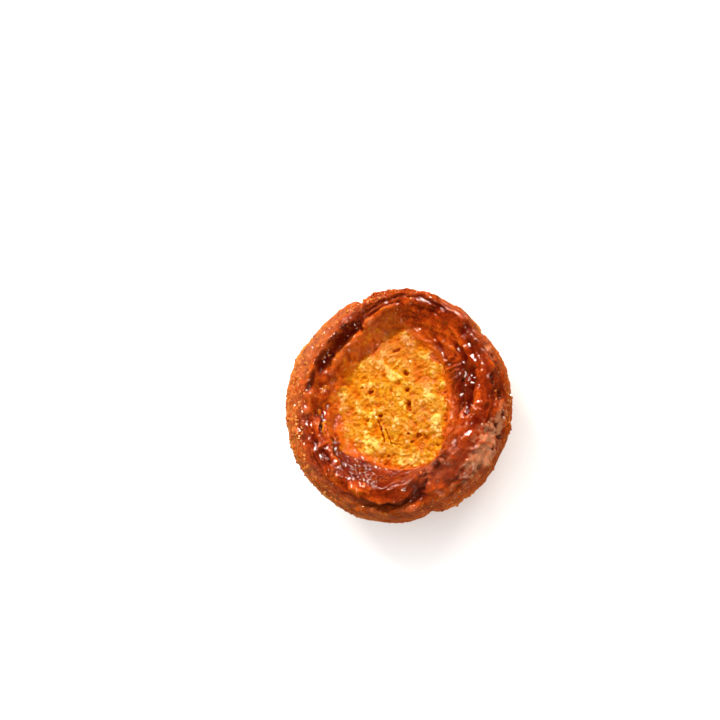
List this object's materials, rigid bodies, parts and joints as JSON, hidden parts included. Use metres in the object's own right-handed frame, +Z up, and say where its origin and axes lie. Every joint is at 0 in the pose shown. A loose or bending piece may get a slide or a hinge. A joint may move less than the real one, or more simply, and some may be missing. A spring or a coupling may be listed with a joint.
{
  "type": "kouign amann",
  "caption": "Round laminated butter pastry with a flat base, a tapered wall, a rolled caramelised rim of overlapping folds and a sunken open crumb in the middle.",
  "frame": {"origin": "middle of the flat base, on the surface that the pastry stands on", "axes": "+Z up through the open heart; +X and +Y lie in the base, with the rim's deepest notch between two folds at about 110 degrees from +X"},
  "size_m": [0.0802, 0.0832, 0.0421],
  "materials": {
    "crust": "browned laminated dough under a hard caramel lacquer"
  },
  "bodies": {
    "root": {"kouign_amann": "crust"}
  },
  "joints": []
}
